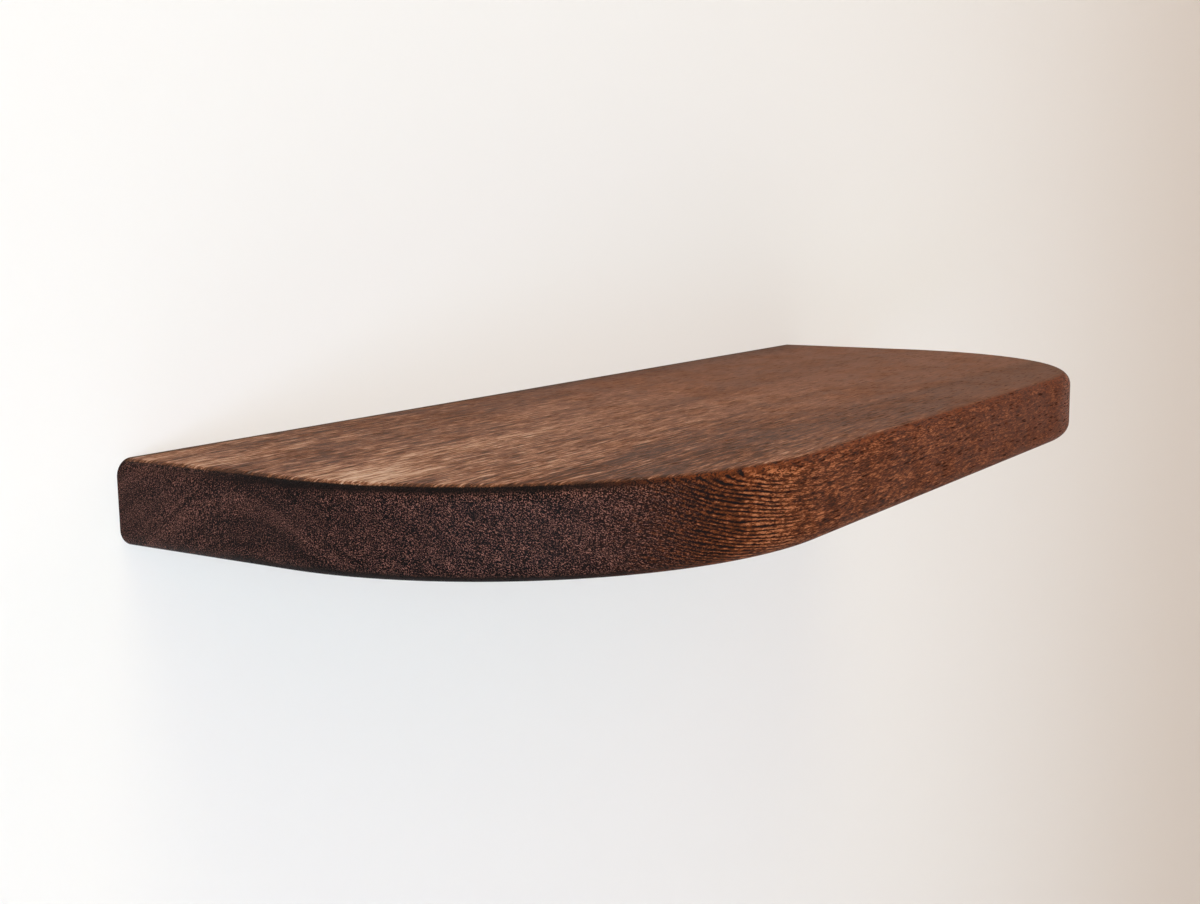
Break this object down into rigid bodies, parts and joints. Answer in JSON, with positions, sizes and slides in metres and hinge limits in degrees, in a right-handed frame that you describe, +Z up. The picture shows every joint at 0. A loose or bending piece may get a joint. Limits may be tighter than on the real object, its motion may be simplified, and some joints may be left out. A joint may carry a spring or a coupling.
{
  "type": "floating wall shelf",
  "caption": "Floating wall shelf: a solid wood board with wide round front corners that slides over the rods of a concealed steel bar bracket screwed to the wall.",
  "frame": {"origin": "centre of the bracket bar's back face, in the plane of the wall, at mid-thickness of the board", "axes": "+X along the board, to the right as seen from the room; +Y into the wall; +Z up"},
  "size_m": [0.5, 0.2452, 0.03],
  "materials": {
    "board_wood": "oiled reddish brown hardwood, satin",
    "bar_paint": "black powder coat, matt",
    "rod_steel": "drawn bright steel",
    "rod_screw_steel": "black oxide",
    "wall_screw_zinc": "yellow zinc plate",
    "plug_nylon": "moulded grey nylon"
  },
  "bodies": {
    "wall_bracket": {"bracket_bar": "bar_paint", "support_rod_left": "rod_steel", "support_rod_right": "rod_steel", "rod_screw_left": "rod_screw_steel", "rod_screw_right": "rod_screw_steel", "wall_screw_outer_left": "wall_screw_zinc", "wall_screw_inner_left": "wall_screw_zinc", "wall_screw_inner_right": "wall_screw_zinc", "wall_screw_outer_right": "wall_screw_zinc", "wall_plug_outer_left": "plug_nylon", "wall_plug_inner_left": "plug_nylon", "wall_plug_inner_right": "plug_nylon", "wall_plug_outer_right": "plug_nylon"},
    "board": {"shelf_board": "board_wood"}
  },
  "joints": [
    {"name": "board_slide", "type": "slide", "parent": "wall_bracket", "child": "board", "axis": [0, -1, 0], "range_m": [0, 0.16]}
  ]
}
